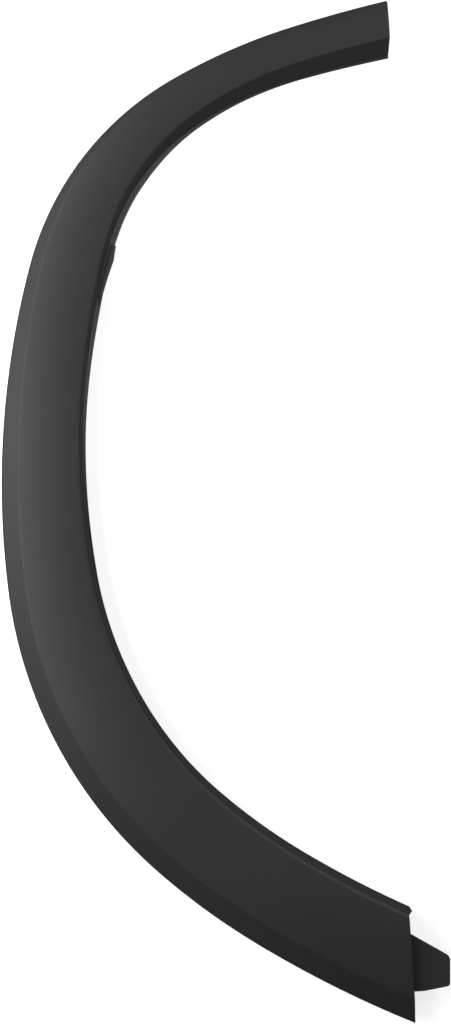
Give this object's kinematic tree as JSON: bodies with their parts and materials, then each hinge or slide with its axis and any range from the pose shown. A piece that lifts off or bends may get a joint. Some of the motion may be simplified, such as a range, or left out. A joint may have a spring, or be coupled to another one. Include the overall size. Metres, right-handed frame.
{
  "type": "fender trim",
  "caption": "Long curved plastic trim for a wheel arch: narrow tip, wide foot with a joining tongue, creased face, and a hollow ribbed back with clip towers and locating pins.",
  "frame": {"origin": "under the middle of the trim's bounding box, in the plane of the flange's lower edge, on which it lies", "axes": "+X from the crown of the arch towards the tongue, to the right in the picture; +Y towards the tip, up in the picture; +Z out of the visible face, away from the vehicle"},
  "size_m": [0.3914, 0.8924, 0.0295],
  "materials": {
    "grained_plastic": "unpainted black plastic with a fine moulded grain"
  },
  "bodies": {
    "root": {"fender_trim": "grained_plastic"}
  },
  "joints": []
}
